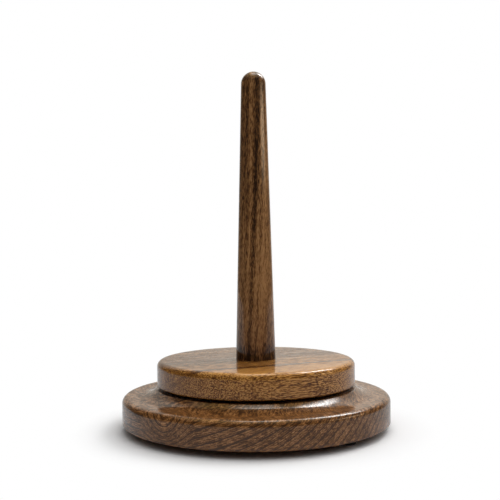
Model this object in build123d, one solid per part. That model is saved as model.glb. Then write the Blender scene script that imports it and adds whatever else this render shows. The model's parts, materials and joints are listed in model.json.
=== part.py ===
"""Free-standing paper towel holder: a turned walnut base, a walnut turntable that spins on a
flat ball bearing let into the base, and a tapered walnut post that the roll slips over.

Millimetres, +Z up. The origin is on the spin axis, on the surface that the feet stand on.
"""

import os
from math import acos, atan2, cos, degrees, hypot, radians, sin, sqrt, tan

from build123d import *

# Turntable
turntable_diameter = 169.4
turntable_thickness = 20.8
turntable_top_round = 4.8
turntable_bottom_round = 1.2
running_gap = 2.4

# Base: a round-edged ledge, and a cove up to a boss a little wider than the turntable
boss_overhang = 0.4
boss_height = 6.1
boss_edge_round = 0.8
cove_radius = 20.0
ledge_width = 29.2
rim_height = 22.7
rim_round = 5.0
base_edge_break = 0.8
driver_hole_diameter = 11.0

# Post
post_height = 247.1
post_foot_diameter = 34.1
post_top_diameter = 21.3
tenon_diameter = 22.0
mortise_floor = 6.6

# Flat ball bearing: two pressed square plates, a caged ring of balls and a swaged eyelet
plate_side = 76.2
plate_thickness = 1.0
plate_corner_radius = 6.0
plate_hole_inset = 5.6
plate_flat_width = 4.6
plate_back_relief = 0.5
outer_shoulder_width = 4.8
inner_shoulder_width = 8.5
track_half_angle = 50.0
ball_diameter = 4.76
ball_count = 16
cage_width = 8.4
cage_thickness = 1.2
eyelet_wall = 1.1
eyelet_flange_width = 2.6
eyelet_flange_thickness = 0.8

# Rubber feet, each held by a screw and a washer sunk in its bore
foot_count = 3
foot_first_angle = -43.0
foot_inset = 17.0
foot_height = 6.0
foot_wall = 2.1
foot_taper = 1.0
foot_edge_round = 0.7
foot_washer_overhang = 0.35
foot_washer_thickness = 0.8
foot_screw_recess = 0.7

# Pan-head screws of the bearing plates and the feet
pan_shank_diameter = 3.5
pan_head_diameter = 6.9
pan_head_height = 2.0
pan_head_side = 1.0
pan_slot_width = 0.9
pan_slot_length = 3.8
pan_slot_depth = 1.2
plate_screw_length = 12.0
foot_screw_length = 12.0

# Countersunk screw of the post
post_screw_length = 50.0
post_screw_diameter = 4.8
post_screw_head_diameter = 9.4
post_screw_head_angle = 82.0
post_screw_slot_width = 1.2
post_screw_slot_length = 5.2
post_screw_slot_depth = 1.6
screw_point_angle = 40.0

# Clearances
glue_gap = 0.1
pilot_clearance = 0.05
pilot_end_clearance = 0.5
screw_hole_clearance = 0.4
washer_clearance = 0.1
ball_clearance = 0.1
pocket_clearance = 0.15
plate_sweep_clearance = 2.6
eyelet_fit_clearance = 0.05
eyelet_running_clearance = 0.35
eyelet_end_play = 0.2

# Heights above the floor
base_bottom = foot_height
rim_top = base_bottom + rim_height
boss_top = rim_top + boss_height
turntable_bottom = boss_top + running_gap
turntable_top = turntable_bottom + turntable_thickness
post_top = turntable_top + post_height

# Heights of the bearing, which fills the recess and the running gap
ball_radius = ball_diameter / 2
groove_radius = ball_radius + ball_clearance
bearing_height = 2 * (groove_radius + plate_thickness + plate_back_relief)
bearing_middle = turntable_bottom - bearing_height / 2
recess_floor = turntable_bottom - bearing_height
lower_plate_top = recess_floor + plate_thickness
upper_plate_bottom = turntable_bottom - plate_thickness
shoulder_top = bearing_middle - groove_radius * cos(radians(track_half_angle))
shoulder_bottom = shoulder_top - plate_thickness

# Radii of the bearing, from the plate's side inwards
ramp_foot_radius = plate_side / 2 - plate_flat_width
ramp_head_radius = ramp_foot_radius - (shoulder_top - lower_plate_top)
track_outer_radius = ramp_head_radius - outer_shoulder_width
track_half_width = groove_radius * sin(radians(track_half_angle))
track_radius = track_outer_radius - track_half_width
track_inner_radius = track_radius - track_half_width
eyelet_radius = track_inner_radius - inner_shoulder_width

# Radii of the wooden pieces
turntable_radius = turntable_diameter / 2
boss_radius = turntable_radius + boss_overhang
base_radius = boss_radius + ledge_width
tenon_length = turntable_thickness - mortise_floor

# The cove leaves the ledge level and steepens up to the boss's rounded edge
cove_angle = acos(1 - boss_height / (cove_radius + boss_edge_round))
cove_reach = (cove_radius + boss_edge_round) * sin(cove_angle)

# The recess leaves room for the upper plate's corners to sweep round
plate_reach = plate_side / sqrt(2) - plate_corner_radius * (sqrt(2) - 1)
recess_radius = plate_reach + plate_sweep_clearance

# Screw patterns
screw_hole_radius = pan_shank_diameter / 2 + screw_hole_clearance
plate_hole_spacing = plate_side - 2 * plate_hole_inset
plate_screw_bite = plate_screw_length - plate_thickness
foot_circle_radius = base_radius - foot_inset
foot_head_seat = foot_screw_recess + pan_head_height
foot_washer_top = foot_head_seat + foot_washer_thickness
foot_washer_radius = pan_head_diameter / 2 + foot_washer_overhang
foot_screw_bite = foot_screw_length - (foot_height - foot_head_seat)


def polar(radius, angle, z):
    """A place at this radius and angle about the spin axis."""
    return Pos(radius * cos(radians(angle)), radius * sin(radians(angle)), z)


def turn(*edges):
    """A solid of revolution about Z, from an outline drawn as (radius, height)."""
    return revolve(make_face(Plane.XZ * Curve(edges)), Axis.Z)


def path(*points):
    """Straight edges through the points."""
    return [Line(start, end) for start, end in zip(points, points[1:])]


def cap_arc(radius, low, high):
    """Outline of a round cap, from its rim up to its crown on the axis."""
    rise = high - low
    sphere = (radius**2 + rise**2) / (2 * rise)
    half_angle = atan2(radius, sphere - rise) / 2
    middle = (sphere * sin(half_angle), high - sphere * (1 - cos(half_angle)))
    return ThreePointArc((radius, low), middle, (0, high))


def upright(radius, bottom, top):
    """A cylinder on the spin axis between two heights."""
    stand = (Align.CENTER, Align.CENTER, Align.MIN)
    return Pos(0, 0, bottom) * Cylinder(radius, top - bottom, align=stand)


def flipped(shape):
    """The same shape, turned upside down about X."""
    return Rot(180, 0, 0) * shape


def plate_hole_places(z):
    """The four screw holes of a bearing plate, at this height."""
    half = plate_hole_spacing / 2
    return [Pos(x, y, z) for x in (-half, half) for y in (-half, half)]


def foot_places(z):
    """The centres of the feet, at this height."""
    step = 360 / foot_count
    return [polar(foot_circle_radius, foot_first_angle + i * step, z) for i in range(foot_count)]


def ball_places():
    """The centres of the balls."""
    step = 360 / ball_count
    return [polar(track_radius, i * step, bearing_middle) for i in range(ball_count)]


def cross_slot(width, length, depth):
    """A cross recess, open at Z = 0 and sunk below it."""
    sunk = (Align.CENTER, Align.CENTER, Align.MAX)
    return Box(length, width, depth, align=sunk) + Box(width, length, depth, align=sunk)


def point_length(diameter):
    """How long a screw's point is."""
    return diameter / 2 / tan(radians(screw_point_angle / 2))


def pan_screw(length):
    """Pan-head wood screw: the head sits on Z = 0 and the shank points down."""
    shank = pan_shank_diameter / 2
    head = pan_head_diameter / 2
    screw = turn(
        *path(
            (0, pan_head_height),
            (0, -length),
            (shank, point_length(pan_shank_diameter) - length),
            (shank, 0),
            (head, 0),
            (head, pan_head_side),
        ),
        cap_arc(head, pan_head_side, pan_head_height),
    )
    return screw - Pos(0, 0, pan_head_height) * cross_slot(pan_slot_width, pan_slot_length, pan_slot_depth)


def pan_pilot(bite):
    """The pilot hole for a pan-head screw that bites this deep, below Z = 0."""
    return upright(pan_shank_diameter / 2 + pilot_clearance, -bite - pilot_end_clearance, 0)


def countersunk(clearance, length, point):
    """Countersunk screw or the hole for it: its head's face is on Z = 0 and its shank points down."""
    shank = post_screw_diameter / 2 + clearance
    head = post_screw_head_diameter / 2 + clearance
    cone = (head - shank) / tan(radians(post_screw_head_angle / 2))
    return turn(*path((0, 0), (head, 0), (shank, -cone), (shank, point - length), (0, -length), (0, 0)))


def make_base():
    """Turned base with a round recess for the bearing, and a hole to drive the upper screws through."""
    rim_start = base_radius - rim_round
    cove_end = boss_radius + cove_reach
    cove_turn = degrees(cove_angle)
    base = turn(
        *path(
            (0, base_bottom),
            (base_radius - base_edge_break, base_bottom),
            (base_radius, base_bottom + base_edge_break),
            (base_radius, rim_top - rim_round),
        ),
        CenterArc((rim_start, rim_top - rim_round), rim_round, 0, 90),
        Line((rim_start, rim_top), (cove_end, rim_top)),
        CenterArc((cove_end, rim_top + cove_radius), cove_radius, 270, -cove_turn),
        CenterArc((boss_radius, boss_top - boss_edge_round), boss_edge_round, 90 - cove_turn, cove_turn),
        *path(
            (boss_radius, boss_top),
            (recess_radius, boss_top),
            (recess_radius, recess_floor),
            (0, recess_floor),
            (0, base_bottom),
        ),
    )
    driver_hole = upright(driver_hole_diameter / 2, base_bottom, recess_floor)
    base -= Pos(plate_hole_spacing / sqrt(2), 0, 0) * driver_hole
    for place in plate_hole_places(recess_floor):
        base -= place * pan_pilot(plate_screw_bite)
    for place in foot_places(base_bottom):
        base -= place * flipped(pan_pilot(foot_screw_bite))
    return base


def make_turntable():
    """Turned disc with a mortise for the post and a countersunk hole below it."""
    bottom_round_start = turntable_radius - turntable_bottom_round
    bottom_round_top = turntable_bottom + turntable_bottom_round
    top_round_start = turntable_radius - turntable_top_round
    top_round_bottom = turntable_top - turntable_top_round
    turntable = turn(
        Line((0, turntable_bottom), (bottom_round_start, turntable_bottom)),
        CenterArc((bottom_round_start, bottom_round_top), turntable_bottom_round, 270, 90),
        Line((turntable_radius, bottom_round_top), (turntable_radius, top_round_bottom)),
        CenterArc((top_round_start, top_round_bottom), turntable_top_round, 0, 90),
        *path((top_round_start, turntable_top), (0, turntable_top), (0, turntable_bottom)),
    )
    turntable -= upright(tenon_diameter / 2 + glue_gap, turntable_top - tenon_length, turntable_top)
    turntable -= Pos(0, 0, turntable_bottom) * flipped(countersunk(pilot_clearance, mortise_floor, 0))
    for place in plate_hole_places(turntable_bottom):
        turntable -= place * flipped(pan_pilot(plate_screw_bite))
    return turntable


def make_post():
    """Tapered post with a domed top, a tenon below its shoulder and a pilot hole for its screw."""
    foot = post_foot_diameter / 2
    tenon = tenon_diameter / 2
    tenon_end = turntable_top - tenon_length + glue_gap
    # The taper runs into the dome on a tangent
    dome = post_top_diameter / 2
    dome_middle = post_top - dome
    taper_rise = dome_middle - turntable_top
    meeting_angle = acos(dome / hypot(foot, taper_rise)) - atan2(taper_rise, foot)
    meeting_radius = dome * cos(meeting_angle)
    meeting_height = dome_middle + dome * sin(meeting_angle)
    post = turn(
        *path(
            (0, post_top),
            (0, tenon_end),
            (tenon, tenon_end),
            (tenon, turntable_top),
            (foot, turntable_top),
            (meeting_radius, meeting_height),
        ),
        cap_arc(meeting_radius, meeting_height, post_top),
    )
    pilot_top = turntable_bottom + post_screw_length + pilot_end_clearance
    return post - upright(post_screw_diameter / 2 + pilot_clearance, tenon_end, pilot_top)


def make_post_screw():
    """Countersunk wood screw, up through the turntable into the post."""
    screw = countersunk(0, post_screw_length, point_length(post_screw_diameter))
    screw -= cross_slot(post_screw_slot_width, post_screw_slot_length, post_screw_slot_depth)
    return Pos(0, 0, turntable_bottom) * flipped(screw)


def make_plate(hole_radius):
    """Pressed bearing plate, as it lies in the recess: a ball track in a raised ring."""
    back_radius = groove_radius + plate_thickness
    back_half_width = sqrt(back_radius**2 - (bearing_middle - shoulder_bottom) ** 2)
    back_outer = (track_radius + back_half_width, shoulder_bottom)
    back_inner = (track_radius - back_half_width, shoulder_bottom)
    groove_outer = (track_outer_radius, shoulder_top)
    groove_inner = (track_inner_radius, shoulder_top)
    # A sheet bent by 45 degrees keeps its thickness when its back is shifted by this much
    bend_shift = plate_thickness * (sqrt(2) - 1)
    sheet = turn(
        *path(
            (plate_side, recess_floor),
            (plate_side, lower_plate_top),
            (ramp_foot_radius, lower_plate_top),
            (ramp_head_radius, shoulder_top),
            groove_outer,
        ),
        ThreePointArc(groove_outer, (track_radius, bearing_middle - groove_radius), groove_inner),
        *path(groove_inner, (hole_radius, shoulder_top), (hole_radius, shoulder_bottom), back_inner),
        ThreePointArc(back_inner, (track_radius, bearing_middle - back_radius), back_outer),
        *path(
            back_outer,
            (ramp_head_radius - bend_shift, shoulder_bottom),
            (ramp_foot_radius - bend_shift, recess_floor),
            (plate_side, recess_floor),
        ),
    )
    square = RectangleRounded(plate_side, plate_side, plate_corner_radius)
    plate = sheet & Pos(0, 0, recess_floor) * extrude(square, bearing_height)
    for place in plate_hole_places(0):
        plate -= place * upright(screw_hole_radius, recess_floor, lower_plate_top)
    return plate


def make_upper_plate():
    """The lower plate's twin, turned over about the bearing's middle, with a wider hole."""
    plate = make_plate(eyelet_radius + eyelet_running_clearance)
    return Pos(0, 0, 2 * bearing_middle) * flipped(plate)


def make_eyelet():
    """Hollow rivet, swaged on the lower plate, that keeps the upper plate from lifting off."""
    inner = eyelet_radius - eyelet_wall
    flange = eyelet_radius + eyelet_flange_width
    upper_seat = 2 * bearing_middle - shoulder_bottom + eyelet_end_play
    bottom = shoulder_bottom - eyelet_flange_thickness
    top = upper_seat + eyelet_flange_thickness
    return turn(
        *path(
            (inner, bottom),
            (flange, bottom),
            (flange, shoulder_bottom),
            (eyelet_radius, shoulder_bottom),
            (eyelet_radius, upper_seat),
            (flange, upper_seat),
            (flange, top),
            (inner, top),
            (inner, bottom),
        )
    )


def make_cage():
    """Flat ring with a round pocket for each ball."""
    low = bearing_middle - cage_thickness / 2
    high = bearing_middle + cage_thickness / 2
    half_width = cage_width / 2
    cage = upright(track_radius + half_width, low, high) - upright(track_radius - half_width, low, high)
    for place in ball_places():
        cage -= place * Cylinder(ball_radius + pocket_clearance, cage_thickness)
    return cage


def make_foot():
    """Tapered rubber foot, bored for its screw and counterbored for the washer and the head."""
    well = foot_washer_radius + washer_clearance
    bottom = well + foot_wall
    top = bottom + foot_taper
    foot = turn(*path((0, 0), (bottom, 0), (top, foot_height), (0, foot_height), (0, 0)))
    ground_edge = foot.edges().filter_by(GeomType.CIRCLE).sort_by(Axis.Z)[0]
    foot = fillet(ground_edge, foot_edge_round)
    foot -= upright(well, 0, foot_washer_top)
    return foot - upright(screw_hole_radius, 0, foot_height)


def make_foot_washer():
    """Steel washer over a foot screw's head, at the bottom of the foot's counterbore."""
    ring = upright(foot_washer_radius, foot_head_seat, foot_washer_top)
    return ring - upright(screw_hole_radius, foot_head_seat, foot_washer_top)


def make_nodes():
    """Every piece of the holder by its name. A set of like fasteners shares one name."""
    plate_screw = pan_screw(plate_screw_length)
    foot_screw = flipped(pan_screw(foot_screw_length))
    foot_washer = make_foot_washer()
    foot = make_foot()
    nodes = {
        "base": make_base(),
        "turntable": make_turntable(),
        "post": make_post(),
        "post_screw": make_post_screw(),
        "bearing_lower_plate": make_plate(eyelet_radius + eyelet_fit_clearance),
        "bearing_upper_plate": make_upper_plate(),
        "bearing_eyelet": make_eyelet(),
        "ball_cage": make_cage(),
        "lower_plate_screws": Compound([p * plate_screw for p in plate_hole_places(lower_plate_top)]),
        "upper_plate_screws": Compound(
            [p * flipped(plate_screw) for p in plate_hole_places(upper_plate_bottom)]
        ),
        "foot_washers": Compound([p * foot_washer for p in foot_places(0)]),
        "foot_screws": Compound([p * foot_screw for p in foot_places(foot_head_seat)]),
    }
    for number, place in enumerate(foot_places(0), start=1):
        nodes[f"rubber_foot_{number}"] = place * foot
    for number, place in enumerate(ball_places(), start=1):
        nodes[f"bearing_ball_{number:02d}"] = place * Sphere(ball_radius)
    return nodes


def main():
    os.makedirs("parts", exist_ok=True)
    for name, shape in make_nodes().items():
        export_step(shape, os.path.join("parts", f"{name}.step"))


main()
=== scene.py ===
"""Looks of the paper towel holder: lacquered walnut, zinc-plated steel and black rubber, in a white studio.

Metres, in the frame of the solids: +Z up, the spin axis on Z, the floor at Z = 0, the camera at -Y.
The wood's own sizes are in millimetres.
"""

import json
from dataclasses import dataclass
from math import cos, pi, radians, sin

import bpy
from mathutils import Matrix, Vector

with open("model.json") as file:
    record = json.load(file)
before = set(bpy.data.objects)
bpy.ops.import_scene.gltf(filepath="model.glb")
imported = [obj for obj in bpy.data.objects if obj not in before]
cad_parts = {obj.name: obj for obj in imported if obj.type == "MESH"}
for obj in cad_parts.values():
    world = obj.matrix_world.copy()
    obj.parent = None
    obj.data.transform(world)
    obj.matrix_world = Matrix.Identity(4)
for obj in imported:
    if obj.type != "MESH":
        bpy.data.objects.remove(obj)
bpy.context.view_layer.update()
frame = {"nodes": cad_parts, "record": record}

# Camera: fitted to the outlines in the photograph's 500 by 500 frame
IMAGE_SIDE_PX = 500
FOCAL_LENGTH_PX = 811.7
SENSOR_WIDTH_MM = 36.0
CAMERA_PLACE = Vector((0.0, -0.700, 0.1562))
CAMERA_PITCH_DOWN = radians(0.377)
CAMERA_YAW = radians(-0.342)
CAMERA_ROLL = radians(0.53)


@dataclass(frozen=True)
class Figure:
    """Bands of light and dark wood along a board."""

    bands: tuple  # of each, its place across the board in millimetres, and its lightness from 0 to 1
    shift: float  # how far all the bands lie to one side
    wander: float  # how far they stray from a straight line
    bend: float = 0.0  # how much they curve along the board
    middle: float = 0.0  # where along the board the curve turns
    tilt: float = 0.0  # how much they lean through the board


@dataclass(frozen=True)
class Board:
    """Where a turned piece lay in its tree, and how its wood looks. Sizes are in millimetres."""

    along: tuple  # direction of the grain, in the frame
    up: tuple  # direction through the board, in the frame
    pith: tuple  # place of the tree's pith: across, through and along the board
    tones: tuple  # colours of the wood, from dark to light
    ring: float  # width of a growth ring
    line: float  # darkness of the lines between rings
    waves: tuple  # how far slow and quick waves push the rings
    streak: tuple  # width and length of a streak of colour
    tint: float  # contrast of the streaks
    fibre: float  # scale of the fibres, flecks and pores
    grit: float  # contrast of the fibres
    fleck: float  # darkness of the flecks
    figure: Figure = None
    tops: float = 1.0  # how many times as strong the figure is on faces that look up; above 1 it is partly painted golden sheen and shade
    pool: tuple = None  # painted shade toward the middle, where the turntable shades the cove: radii where it starts and where it is full, and its darkness
    shades: tuple = ()  # of each, the places along the board where a lighter or darker stretch starts and is full, and its lightness; a darker foot is painted shade
    knot: tuple = None  # place of a knot, in the frame


BOARDS = {
    "base": Board(
        along=(0.42, -0.91, 0.0),
        up=(0.0, 0.0, 1.0),
        pith=(-139.0, 190.0, 0.0),
        tones=((0.050, 0.020, 0.006), (0.226, 0.092, 0.025), (0.430, 0.205, 0.078)),
        ring=5.2,
        line=1.7,
        waves=(6.0, 0.9),
        streak=(9.0, 160.0),
        tint=0.30,
        fibre=0.60,
        grit=0.85,
        fleck=0.7,
        # Painted shade in the cove under the turntable, from 97 mm in to full at 89 mm from the axis
        pool=(97.0, 89.0, 0.13),
        knot=(-70.0, -91.0, 20.0),
    ),
    "turntable": Board(
        along=(0.912, 0.41, 0.0),
        up=(0.0, 0.0, 1.0),
        pith=(-15.0, -180.0, 0.0),
        tones=((0.075, 0.026, 0.005), (0.250, 0.096, 0.016), (0.580, 0.275, 0.066)),
        ring=6.5,
        line=0.22,
        waves=(16.0, 2.2),
        streak=(6.0, 60.0),
        tint=0.28,
        fibre=0.60,
        grit=1.2,
        fleck=0.6,
        # Its bands grow lighter toward the right and front: partly the wood's figure, partly painted light
        # from the key's side
        figure=Figure(
            bands=(
                (-90.0, 0.48),
                (-76.0, 0.42),
                (-64.0, 0.38),
                (-60.0, 0.48),
                (-48.0, 0.44),
                (-34.0, 0.35),
                (-30.0, 0.44),
                (-18.0, 0.41),
                (-4.0, 0.34),
                (2.0, 0.42),
                (22.0, 0.53),
                (38.0, 0.54),
                (42.0, 0.38),
                (45.0, 0.34),
                (48.0, 0.58),
                (56.0, 0.62),
                (72.0, 0.68),
                (90.0, 0.70),
            ),
            shift=87.0,
            wander=9.0,
            tilt=1.5,
        ),
        # The figure on the top and its rounding is four times as strong: partly the wood's own figure,
        # partly a painted golden sheen on the front rounding
        tops=4.0,
    ),
    "post": Board(
        along=(0.0374, 0.0, 1.0),
        up=(0.0, -1.0, 0.0),
        pith=(60.0, -30.0, 0.0),
        tones=((0.024, 0.010, 0.004), (0.154, 0.068, 0.023), (0.345, 0.175, 0.068)),
        ring=4.2,
        line=0.2,
        waves=(16.0, 2.2),
        streak=(2.6, 260.0),
        tint=0.35,
        fibre=0.42,
        grit=0.8,
        fleck=0.2,
        figure=Figure(
            bands=(
                (-20.0, 0.40),
                (-9.0, 0.42),
                (-6.8, 0.30),
                (-4.0, 0.85),
                (-2.2, 0.45),
                (0.0, 0.05),
                (1.6, 0.30),
                (3.5, 0.68),
                (6.0, 0.46),
                (8.5, 0.86),
                (11.0, 0.65),
                (14.0, 0.40),
                (20.0, 0.45),
            ),
            shift=6.7,
            wander=3.0,
            bend=0.000135,
            middle=180.0,
        ),
        # The post is lighter toward its lower half, and darker at its foot: painted shade where it meets
        # the turntable
        shades=((220.0, 130.0, 0.24), (76.0, 58.0, -0.55)),
    ),
}

MM_PER_METRE = 1000.0

# Grains of the walnut: width and length of a lump. A wave's are in millimetres, the others in scales of the
# board's fibre
SLOW_WAVE = (55.0, 420.0)
QUICK_WAVE = (9.0, 110.0)
FIGURE_WAVE = (10.0, 90.0)
THREAD = (1.4, 11.0)
FLECK = (0.8, 9.0)
PORE = (0.4, 7.0)

# Noise levels between which each grain goes from none to full
STREAK_EDGES = (0.30, 0.70)
THREAD_EDGES = (0.32, 0.68)
FLECK_EDGES = (0.56, 0.64)
PORE_EDGES = (0.58, 0.70)

# Growth rings: darkness from a ring's inner edge to its outer edge, and the fine lines within it
RING_PROFILE = ((0.0, 0.3), (0.05, 0.0), (0.60, 0.0), (0.84, 0.22), (0.93, 1.0), (1.0, 1.0))
RING_WEIGHTS = (0.4, 1.0)
FINE_LINES_PER_RING = 3.7
FINE_LINE_EDGES = (0.55, 0.90)
FINE_LINE_DARKNESS = 0.24

# A face that looks up cuts the rings at a low angle, so their lines are fainter there
UPWARD_EDGES = (0.45, 0.95)
UPWARD_LINE_LOSS = 0.75

# A knot swells the rings within its radius. On its board the fibres follow the rings, so their lumps have a
# size across the rings, one through the board and one along it, in scales of the fibre
KNOT_RADIUS = 30.0
KNOT_SWELL = 16.0
KNOT_HEART_EDGES = (4.5, 1.5)
KNOT_HEART_LIGHTNESS = 0.6
KNOT_THREAD = (1.2, 2.2, 9.0)

# Bare wood: its pores are darker and duller. Its relief is that of the holes, with a share of the fibres
PORE_DARKNESS = 0.15
WOOD_SPECULAR = 0.05
WOOD_ROUGHNESS = 0.42
PORE_ROUGHNESS_GAIN = 0.15
RELIEF_METRES = 0.00008
RELIEF_STRENGTH = 0.3
FIBRE_RELIEF_SHARE = 0.3

# Lacquer: its weight is less over holes, and more over light streaks and fibres
LACQUER_WEIGHT = 0.55
LACQUER_HOLE_LOSS = 0.35
LACQUER_STREAK_GAIN = 0.2
LACQUER_FIBRE_GAIN = 0.5
LACQUER_ROUGHNESS = 0.05
LACQUER_IOR = 1.45

# Floor: shadow on it near the object, white beyond. What the lacquer mirrors of it dims toward the front
FLOOR_RADIUS = 3.0
FLOOR_CORNERS = 96
FLOOR_PAINT = 0.93
FLOOR_PAINT_MIRRORED = 0.70
FLOOR_WHITE_EDGES = (0.124, 0.160)
FLOOR_DIM_EDGES = (-0.20, -0.60)
FLOOR_GLOW_BEHIND = 0.66
FLOOR_GLOW_IN_FRONT = 0.10

# Room that the lacquer mirrors: a backdrop behind the object, brighter toward its top and right, and a warm
# ceiling. A height is the Z of a unit direction, and a bearing the X or Y of one that is level
ROOM_GLOW = 0.03
BACKDROP_COLOUR = (1.0, 0.93, 0.82)
BACKDROP_SIDE_BEARINGS = (0.60, 0.95)
BACKDROP_TOP_HEIGHTS = (0.85, 0.65)
BACKDROP_GLOW_HEIGHTS = (0.30, 0.60)
BACKDROP_GLOWS = (0.72, 1.32)
BACKDROP_TURN_BEARINGS = (-0.25, 0.15)
BACKDROP_TURN_SHARES = (0.74, 1.02)
CEILING_COLOUR = (1.0, 0.66, 0.24)
CEILING_HEIGHTS = (0.70, 0.90)
CEILING_GLOW = 1.3

# Fill light on the wood and the floor: from above, and weaker from the left
FILL_HEIGHTS = (0.20, 0.80)
FILL_TURN = (-0.90, 0.70)
FILL_LEVELS = (0.32, 1.32)

# Lamps: each faces the middle of the base or of the post, and fades from its edge to its core. Those two
# are in shares of its width from its middle
KEY_PLACE = (1.09, 0.93, 1.92)
RIGHT_PLACE = (1.28, -0.226, 0.49)
RIGHT_COLOUR = (1.0, 0.76, 0.50)
OVERHEAD_PLACE = (0.05, 0.15, 1.4)
LAMP_FADE_EDGES = (0.5, 0.05)
BASE_MIDDLE = (0.0, 0.0, 0.05)
POST_MIDDLE = (0.0, 0.0, 0.25)


def triple(value):
    """A grey, or a scale that is the same along all three axes."""
    return (value, value, value)


class Nodes:
    """A node tree under construction."""

    def __init__(self, tree):
        self.tree = tree
        tree.nodes.clear()

    def add(self, kind, settings=None, inputs=None):
        """A new node. An input takes a value, or a socket to link."""
        node = self.tree.nodes.new(kind)
        for key, value in (settings or {}).items():
            setattr(node, key, value)
        for key, value in (inputs or {}).items():
            if isinstance(value, bpy.types.NodeSocket):
                self.tree.links.new(value, node.inputs[key])
            else:
                node.inputs[key].default_value = value
        return node

    def math(self, operation, *values):
        settings = {"operation": operation}
        return self.add("ShaderNodeMath", settings, dict(enumerate(values))).outputs[0]

    def product(self, first, second):
        return self.math("MULTIPLY", first, second)

    def centred(self, value):
        """A value from 0 to 1, moved to lie about 0."""
        return self.math("SUBTRACT", value, 0.5)

    def total(self, start, *terms):
        """The start plus each term's value times its weight."""
        for value, weight in terms:
            start = self.math("MULTIPLY_ADD", value, weight, start)
        return start

    def axes(self, vector):
        """The vector's components, by their names."""
        return self.add("ShaderNodeSeparateXYZ", None, {0: vector}).outputs

    def scaled(self, vector, scale):
        """The vector with each component times that of scale."""
        settings = {"operation": "MULTIPLY"}
        return self.add("ShaderNodeVectorMath", settings, {0: vector, 1: scale}).outputs[0]

    def distance(self, point, other=(0.0, 0.0, 0.0)):
        """How far the point is from another, or from the origin."""
        settings = {"operation": "DISTANCE"}
        return self.add("ShaderNodeVectorMath", settings, {0: point, 1: other}).outputs["Value"]

    def noise(self, vector, detail, roughness=0.5):
        """Noise of about one lump per unit of the vector, from 0 to 1."""
        inputs = {"Vector": vector, "Scale": 1.0, "Detail": detail, "Roughness": roughness}
        return self.add("ShaderNodeTexNoise", None, inputs).outputs[0]

    def fade(self, value, edges, levels=(0.0, 1.0)):
        """The first level before the first edge, the second past the second edge, smooth between them."""
        settings = {"interpolation_type": "SMOOTHSTEP"}
        inputs = {"Value": value, "From Min": edges[0], "From Max": edges[1]}
        inputs |= {"To Min": levels[0], "To Max": levels[1]}
        return self.add("ShaderNodeMapRange", settings, inputs).outputs[0]

    def ramp(self, value, stops):
        """Colours, or grey levels, at places along 0 to 1."""
        node = self.add("ShaderNodeValToRGB", None, {"Fac": value})
        elements = node.color_ramp.elements
        while len(elements) < len(stops):
            elements.new(1.0)
        for element, (place, colour) in zip(elements, stops):
            element.position = place
            element.color = (*(colour if isinstance(colour, tuple) else triple(colour)), 1.0)
        return node.outputs[0]

    def mix(self, factor, first, second):
        """A colour between two."""
        colours = [c if isinstance(c, bpy.types.NodeSocket) else (*c, 1.0) for c in (first, second)]
        node = self.add("ShaderNodeMix", {"data_type": "RGBA"}, {0: factor, 6: colours[0], 7: colours[1]})
        return node.outputs[2]

    def bump(self, height, distance, strength):
        inputs = {"Height": height, "Distance": distance, "Strength": strength}
        return self.add("ShaderNodeBump", None, inputs).outputs[0]

    def principled(self, inputs):
        """The surface shader, linked to the material's output."""
        shader = self.add("ShaderNodeBsdfPrincipled", None, inputs)
        self.add("ShaderNodeOutputMaterial", None, {"Surface": shader.outputs[0]})


def new_material(name):
    material = bpy.data.materials.new(name)
    material.use_nodes = True
    return material, Nodes(material.node_tree)


def board_point(nodes, board, place):
    """Where the shaded place lies in its board: across, through and along it, from the pith."""
    along = Vector(board.along).normalized()
    up = Vector(board.up)
    inputs = {
        "Vector": place,
        "Location": [-c for c in board.pith],
        "Rotation": Matrix((up.cross(along), up, along)).to_euler("XYZ"),
    }
    return nodes.add("ShaderNodeMapping", {"vector_type": "POINT"}, inputs).outputs[0]


def stretched(nodes, point, grain, scale=1.0):
    """The board's point in lumps with the grain's width across the board and its length along it."""
    width, length = (scale * size for size in grain)
    return nodes.scaled(point, (1 / width, 1 / width, 1 / length))


def ring_reach(nodes, board, point, aside):
    """How far from the pith the point's growth ring lies, once waves and the knot have pushed it."""
    slow = nodes.noise(stretched(nodes, point, SLOW_WAVE), detail=1.0)
    quick = nodes.noise(stretched(nodes, point, QUICK_WAVE), detail=2.0)
    reach = nodes.distance(nodes.scaled(point, (1.0, 1.0, 0.0)))
    reach = nodes.total(reach, *zip((slow, quick), board.waves))
    if board.knot:
        reach = nodes.total(reach, (nodes.fade(aside, (KNOT_RADIUS, 0.0)), -KNOT_SWELL))
    return reach


def ring_lines(nodes, board, reach, upward):
    """Darkness of the lines between growth rings, of the fine lines too."""
    rings = nodes.math("DIVIDE", reach, board.ring)
    number = {"W": nodes.math("FLOOR", rings)}
    chance = nodes.add("ShaderNodeTexWhiteNoise", {"noise_dimensions": "1D"}, number).outputs["Value"]
    faintest, darkest = RING_WEIGHTS
    weight = nodes.total(faintest, (chance, darkest - faintest))
    line = nodes.product(nodes.ramp(nodes.math("FRACT", rings), RING_PROFILE), weight)
    finer = nodes.math("FRACT", nodes.product(rings, FINE_LINES_PER_RING))
    line = nodes.total(line, (nodes.fade(finer, FINE_LINE_EDGES), FINE_LINE_DARKNESS))
    return nodes.product(line, nodes.total(1.0, (upward, -UPWARD_LINE_LOSS)))


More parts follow.
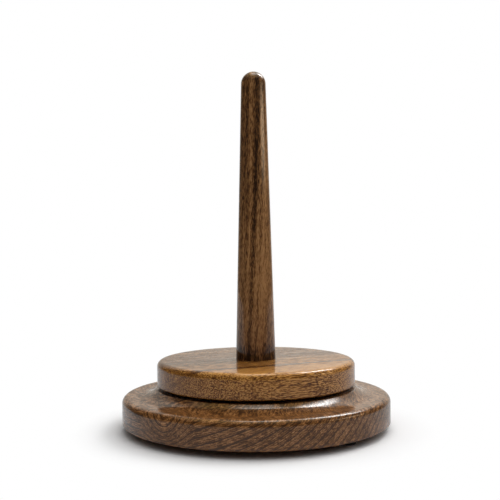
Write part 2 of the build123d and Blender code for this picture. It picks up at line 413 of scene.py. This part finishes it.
def figure_lightness(nodes, board, point):
    """How light the board's bands are, from 0 to 1."""
    figure = board.figure
    first = figure.bands[0][0]
    span = figure.bands[-1][0] - first
    axes = nodes.axes(point)
    wander = nodes.centred(nodes.noise(stretched(nodes, point, FIGURE_WAVE), detail=2.0))
    past_middle = nodes.math("SUBTRACT", axes["Z"], figure.middle)
    curve = nodes.product(nodes.product(past_middle, past_middle), figure.bend)
    across = nodes.math("SUBTRACT", curve, nodes.math("ADD", axes["X"], board.pith[0]))
    through = nodes.math("ADD", axes["Y"], board.pith[1])
    across = nodes.total(across, (wander, figure.wander), (through, -figure.tilt))
    across = nodes.total((figure.shift - first) / span, (across, 1 / span))
    return nodes.ramp(across, tuple(((place - first) / span, light) for place, light in figure.bands))


def fibres(nodes, board, point, reach):
    """The board's fibres, flecks and pores, each from 0 to 1."""
    if board.knot:
        axes = nodes.axes(point)
        ringed = nodes.add("ShaderNodeCombineXYZ", None, {0: reach, 1: axes["Y"], 2: axes["Z"]}).outputs[0]
        threads = nodes.scaled(ringed, [1 / (size * board.fibre) for size in KNOT_THREAD])
    else:
        threads = stretched(nodes, point, THREAD, board.fibre)
    grit = nodes.fade(nodes.noise(threads, detail=2.0, roughness=0.6), THREAD_EDGES)
    fleck = nodes.fade(nodes.noise(stretched(nodes, point, FLECK, board.fibre), detail=1.0), FLECK_EDGES)
    pore = nodes.fade(nodes.noise(stretched(nodes, point, PORE, board.fibre), detail=1.0), PORE_EDGES)
    return grit, fleck, pore


def walnut(name, board):
    """Lacquered walnut: growth rings about a pith, streaks of colour and open pores along the grain."""
    material, nodes = new_material(name)
    place = nodes.add("ShaderNodeTexCoord").outputs["Object"]
    place = nodes.scaled(place, triple(MM_PER_METRE))
    point = board_point(nodes, board, place)
    facing = nodes.add("ShaderNodeNewGeometry").outputs["Normal"]
    upward = nodes.fade(nodes.axes(facing)["Z"], UPWARD_EDGES)
    aside = nodes.distance(place, board.knot) if board.knot else None
    reach = ring_reach(nodes, board, point, aside)
    line = ring_lines(nodes, board, reach, upward)
    streak = nodes.noise(stretched(nodes, point, board.streak), detail=3.0, roughness=0.6)
    streak = nodes.fade(streak, STREAK_EDGES)
    grit, fleck, pore = fibres(nodes, board, point, reach)

    # Level of the wood among its tones: 0 is the dark one, 0.5 the middle one and 1 the light one
    level = nodes.total(0.5, (nodes.centred(streak), board.tint))
    if board.figure:
        bands = nodes.centred(figure_lightness(nodes, board, point))
        # On faces that look up the bands grow by tops, partly painted sheen and shade
        level = nodes.total(level, (bands, nodes.total(1.0, (upward, board.tops - 1.0))))
    # Lighter or darker stretches along the board; the post's darker foot is painted shade where it meets
    # the turntable
    for start, full, lightness in board.shades:
        level = nodes.total(level, (nodes.fade(nodes.axes(point)["Z"], (start, full)), lightness))
    # Painted shade: the wood darkens toward the spin axis, where the turntable shades the cove
    if board.pool:
        start, full, darkness = board.pool
        away = nodes.distance(nodes.scaled(place, (1.0, 1.0, 0.0)))
        level = nodes.total(level, (nodes.fade(away, (start, full)), -darkness))
    level = nodes.total(level, (line, -board.line), (nodes.centred(grit), board.grit))
    level = nodes.total(level, (fleck, -board.fleck), (pore, -PORE_DARKNESS))
    if board.knot:
        level = nodes.total(level, (nodes.fade(aside, KNOT_HEART_EDGES), KNOT_HEART_LIGHTNESS))

    hole = nodes.math("MAXIMUM", fleck, pore)
    height = nodes.total(0.0, (grit, FIBRE_RELIEF_SHARE), (hole, -1.0))
    gains = ((hole, -LACQUER_HOLE_LOSS), (streak, LACQUER_STREAK_GAIN), (grit, LACQUER_FIBRE_GAIN))
    dark, middle, light = board.tones
    nodes.principled(
        {
            "Base Color": nodes.ramp(level, ((0.0, dark), (0.5, middle), (1.0, light))),
            "Roughness": nodes.total(WOOD_ROUGHNESS, (pore, PORE_ROUGHNESS_GAIN)),
            "Specular IOR Level": WOOD_SPECULAR,
            "Normal": nodes.bump(height, RELIEF_METRES, RELIEF_STRENGTH),
            "Coat Weight": nodes.total(LACQUER_WEIGHT, *gains),
            "Coat Roughness": LACQUER_ROUGHNESS,
            "Coat IOR": LACQUER_IOR,
        }
    )
    return material


def zinc_steel():
    """Bright zinc plate: fine rolling lines and faint blue and straw clouds."""
    clouds_per_metre = triple(90.0)
    lines_per_metre = (60.0, 3500.0, 3500.0)
    material, nodes = new_material("zinc_steel")
    place = nodes.add("ShaderNodeTexCoord").outputs["Object"]
    cloud = nodes.noise(nodes.scaled(place, clouds_per_metre), detail=3.0)
    lines = nodes.noise(nodes.scaled(place, lines_per_metre), detail=2.0)
    nodes.principled(
        {
            "Base Color": nodes.mix(cloud, (0.60, 0.63, 0.66), (0.74, 0.72, 0.64)),
            "Metallic": 1.0,
            "Roughness": nodes.total(0.2, (lines, 0.25)),
            "Normal": nodes.bump(lines, distance=0.00003, strength=0.15),
        }
    )
    return material


def ball_steel():
    """Polished bearing steel with a trace of grease."""
    smears_per_metre = triple(500.0)
    material, nodes = new_material("ball_steel")
    place = nodes.add("ShaderNodeTexCoord").outputs["Object"]
    smear = nodes.noise(nodes.scaled(place, smears_per_metre), detail=3.0)
    nodes.principled(
        {
            "Base Color": nodes.mix(smear, (0.72, 0.72, 0.72), (0.62, 0.60, 0.55)),
            "Metallic": 1.0,
            "Roughness": nodes.total(0.03, (smear, 0.2)),
        }
    )
    return material


def black_rubber():
    """Moulded black rubber with a dull bloom."""
    blooms_per_metre = triple(220.0)
    grains_per_metre = triple(3000.0)
    material, nodes = new_material("black_rubber")
    place = nodes.add("ShaderNodeTexCoord").outputs["Object"]
    bloom = nodes.noise(nodes.scaled(place, blooms_per_metre), detail=4.0)
    grain = nodes.noise(nodes.scaled(place, grains_per_metre), detail=2.0)
    nodes.principled(
        {
            "Base Color": nodes.mix(bloom, (0.007, 0.007, 0.007), (0.022, 0.021, 0.020)),
            "Roughness": nodes.total(0.6, (bloom, 0.25)),
            "Normal": nodes.bump(grain, distance=0.00004, strength=0.3),
        }
    )
    return material


def dress():
    """Gives every node the material of its slot in the record."""
    materials = {f"{name}_walnut": walnut(f"{name}_walnut", board) for name, board in BOARDS.items()}
    materials |= {"zinc_steel": zinc_steel(), "ball_steel": ball_steel(), "black_rubber": black_rubber()}
    for part in frame["record"]["subparts"]:
        mesh = frame["nodes"][part["node"]].data
        mesh.materials.clear()
        mesh.materials.append(materials[part["material_slot"]])


def floor_material():
    """Pale paint that runs out to plain white, for the camera and for what the lacquer mirrors."""
    material, nodes = new_material("floor")
    place = nodes.add("ShaderNodeTexCoord").outputs["Object"]
    path = nodes.add("ShaderNodeLightPath").outputs
    glossy = path["Is Glossy Ray"]
    paint = nodes.mix(glossy, triple(FLOOR_PAINT), triple(FLOOR_PAINT_MIRRORED))
    matt = nodes.add("ShaderNodeBsdfDiffuse", None, {"Color": paint}).outputs[0]
    in_front = nodes.fade(nodes.axes(place)["Y"], FLOOR_DIM_EDGES)
    mirrored = nodes.mix(in_front, triple(FLOOR_GLOW_BEHIND), triple(FLOOR_GLOW_IN_FRONT))
    glow = nodes.mix(glossy, triple(1.0), mirrored)
    white = nodes.add("ShaderNodeEmission", None, {"Color": glow, "Strength": 1.0}).outputs[0]
    seen = nodes.math("ADD", path["Is Camera Ray"], glossy)
    far = nodes.product(nodes.fade(nodes.distance(place), FLOOR_WHITE_EDGES), seen)
    both = nodes.add("ShaderNodeMixShader", None, {0: far, 1: matt, 2: white}).outputs[0]
    nodes.add("ShaderNodeOutputMaterial", None, {"Surface": both})
    return material


def make_floor():
    """A pale floor that takes the shadow."""
    turns = [2 * pi * i / FLOOR_CORNERS for i in range(FLOOR_CORNERS)]
    corners = [(FLOOR_RADIUS * cos(turn), FLOOR_RADIUS * sin(turn), 0.0) for turn in turns]
    mesh = bpy.data.meshes.new("floor")
    mesh.from_pydata(corners, [], [tuple(range(FLOOR_CORNERS))])
    mesh.materials.append(floor_material())
    floor = bpy.data.objects.new("floor", mesh)
    bpy.context.scene.collection.objects.link(floor)


def make_world():
    """White to the camera, a soft fill to matt surfaces, and a backdrop and warm ceiling to the lacquer."""
    world = bpy.data.worlds.new("studio")
    world.use_nodes = True
    bpy.context.scene.world = world
    nodes = Nodes(world.node_tree)
    path = nodes.add("ShaderNodeLightPath").outputs
    direction = nodes.add("ShaderNodeTexCoord").outputs["Generated"]
    axes = nodes.axes(direction)
    height = axes["Z"]
    level = nodes.scaled(direction, (1.0, 1.0, 0.0))
    level = nodes.add("ShaderNodeVectorMath", {"operation": "NORMALIZE"}, {0: level}).outputs[0]
    bearing = nodes.axes(level)

    behind = nodes.fade(bearing["Y"], BACKDROP_SIDE_BEARINGS)
    behind = nodes.product(behind, nodes.fade(height, BACKDROP_TOP_HEIGHTS))
    glow = nodes.fade(height, BACKDROP_GLOW_HEIGHTS, BACKDROP_GLOWS)
    glow = nodes.product(glow, nodes.fade(bearing["X"], BACKDROP_TURN_BEARINGS, BACKDROP_TURN_SHARES))
    ceiling = nodes.fade(height, CEILING_HEIGHTS)
    room = nodes.total(ROOM_GLOW, (behind, glow), (ceiling, CEILING_GLOW))
    fill = nodes.product(nodes.fade(height, FILL_HEIGHTS), nodes.fade(axes["X"], FILL_TURN, FILL_LEVELS))

    rays = ((path["Is Glossy Ray"], room), (path["Is Diffuse Ray"], fill), (path["Is Camera Ray"], 1.0))
    room_colour = nodes.mix(ceiling, BACKDROP_COLOUR, CEILING_COLOUR)
    inputs = {
        "Color": nodes.mix(path["Is Glossy Ray"], triple(1.0), room_colour),
        "Strength": nodes.total(0.0, *rays),
    }
    shader = nodes.add("ShaderNodeBackground", None, inputs)
    nodes.add("ShaderNodeOutputWorld", None, {"Surface": shader.outputs[0]})


def softbox(name, place, target, size, power, falloff):
    """A rectangular studio light that faces the target. Its falloff says how fast it fades to its edges."""
    lamp = bpy.data.lights.new(name, "AREA")
    lamp.shape = "RECTANGLE"
    lamp.size, lamp.size_y = size
    lamp.energy = power
    lamp.use_nodes = True
    nodes = Nodes(lamp.node_tree)
    spot = nodes.axes(nodes.add("ShaderNodeNewGeometry").outputs["Parametric"])
    sides = [nodes.math("ABSOLUTE", nodes.centred(spot[key])) for key in ("X", "Y")]
    glow = nodes.product(*(nodes.fade(side, LAMP_FADE_EDGES) for side in sides))
    shader = nodes.add("ShaderNodeEmission", None, {"Strength": nodes.math("POWER", glow, falloff)})
    nodes.add("ShaderNodeOutputLight", None, {"Surface": shader.outputs[0]})

    light = bpy.data.objects.new(name, lamp)
    light.location = place
    light.rotation_euler = (Vector(target) - Vector(place)).to_track_quat("-Z", "Y").to_euler()
    bpy.context.scene.collection.objects.link(light)
    return light


def make_lights():
    """The key as two lamps, one mirrored and one for its light; a warm strip; and a light overhead."""
    key = softbox("key", KEY_PLACE, BASE_MIDDLE, size=(1.44, 2.1), power=185.0, falloff=2.0)
    key.visible_diffuse = False
    soft_key = softbox("soft_key", KEY_PLACE, BASE_MIDDLE, size=(1.6, 2.1), power=112.0, falloff=2.0)
    soft_key.visible_glossy = False
    right = softbox("right", RIGHT_PLACE, POST_MIDDLE, size=(1.3, 0.34), power=7.6, falloff=0.8)
    right.data.color = RIGHT_COLOUR
    right.visible_diffuse = False
    softbox("overhead", OVERHEAD_PLACE, BASE_MIDDLE, size=(0.9, 1.1), power=15.0, falloff=1.0)


def make_camera():
    """The photograph's view: pitch, yaw and roll about the camera's own place."""
    forward = Vector(
        (
            sin(CAMERA_YAW) * cos(CAMERA_PITCH_DOWN),
            cos(CAMERA_YAW) * cos(CAMERA_PITCH_DOWN),
            -sin(CAMERA_PITCH_DOWN),
        )
    )
    level_right = Vector((cos(CAMERA_YAW), -sin(CAMERA_YAW), 0.0))
    level_up = level_right.cross(forward)
    right = level_right * cos(CAMERA_ROLL) - level_up * sin(CAMERA_ROLL)
    up = level_right * sin(CAMERA_ROLL) + level_up * cos(CAMERA_ROLL)
    turn = Matrix((right, up, -forward)).transposed().to_4x4()
    lens = bpy.data.cameras.new("camera")
    lens.sensor_width = SENSOR_WIDTH_MM
    lens.lens = FOCAL_LENGTH_PX / IMAGE_SIDE_PX * SENSOR_WIDTH_MM
    camera = bpy.data.objects.new("camera", lens)
    camera.matrix_world = Matrix.Translation(CAMERA_PLACE) @ turn
    bpy.context.scene.collection.objects.link(camera)
    bpy.context.scene.camera = camera


dress()
make_floor()
make_world()
make_lights()
make_camera()
bpy.context.scene.view_settings.view_transform = "Standard"
